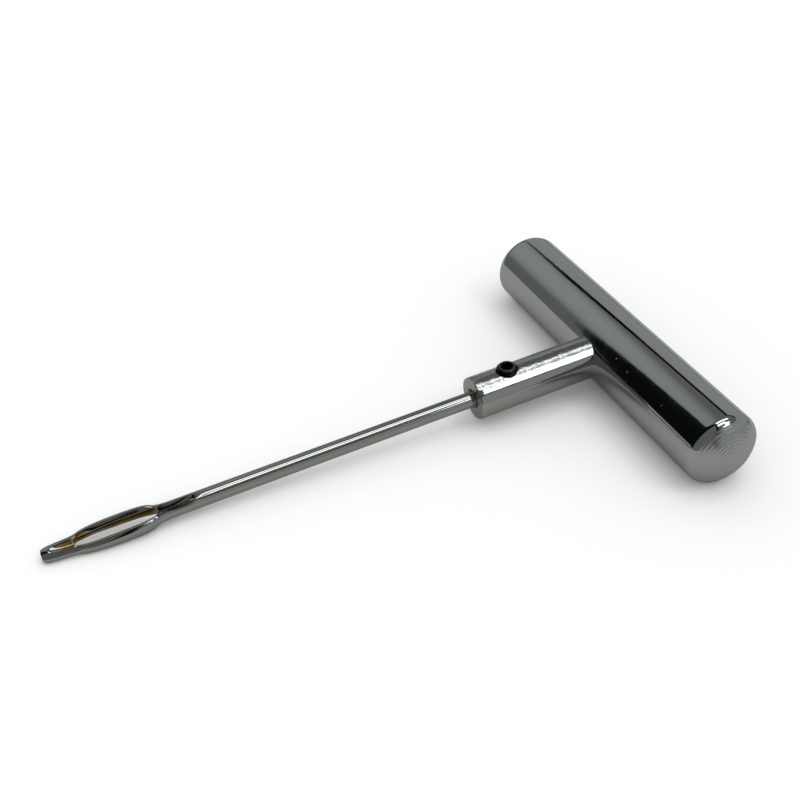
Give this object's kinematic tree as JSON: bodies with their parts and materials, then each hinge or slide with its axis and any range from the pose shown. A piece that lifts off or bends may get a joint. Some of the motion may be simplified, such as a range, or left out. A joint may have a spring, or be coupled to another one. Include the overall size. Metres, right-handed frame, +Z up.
{
  "type": "tyre plug insertion tool",
  "caption": "T-handled steel tool with a socket neck, a grub screw and a long eye needle that carries a plug into a tyre.",
  "frame": {"origin": "on the floor, under the middle of the whole tool's box, as the tool lies on its crossbar and its tip", "axes": "+X from the needle's tip towards the crossbar, +Y along the crossbar, +Z up; the needle slopes down to its tip by about 3.2 degrees"},
  "size_m": [0.1838, 0.113, 0.0222],
  "materials": {
    "bar_chrome": "bright chrome plate over a polished turned bar, with faint turning rings on the domes",
    "neck_chrome": "satin chrome plate over a turned bar, slightly grainy",
    "black_oxide": "black oxide",
    "needle_plate": "bright nickel plate over a drawn and coined rod"
  },
  "bodies": {
    "handle": {"crossbar": "bar_chrome", "neck": "neck_chrome"},
    "screw": {"set_screw": "black_oxide"},
    "needle_rod": {"needle": "needle_plate"}
  },
  "joints": [
    {"name": "screw_back_out", "type": "slide", "parent": "handle", "child": "screw", "axis": [-0.0551, 0, 0.9985], "range_m": [0, 0.003]},
    {"name": "needle_draw_out", "type": "slide", "parent": "handle", "child": "needle_rod", "axis": [-0.9985, 0, -0.0551], "range_m": [0, 0.022]}
  ]
}
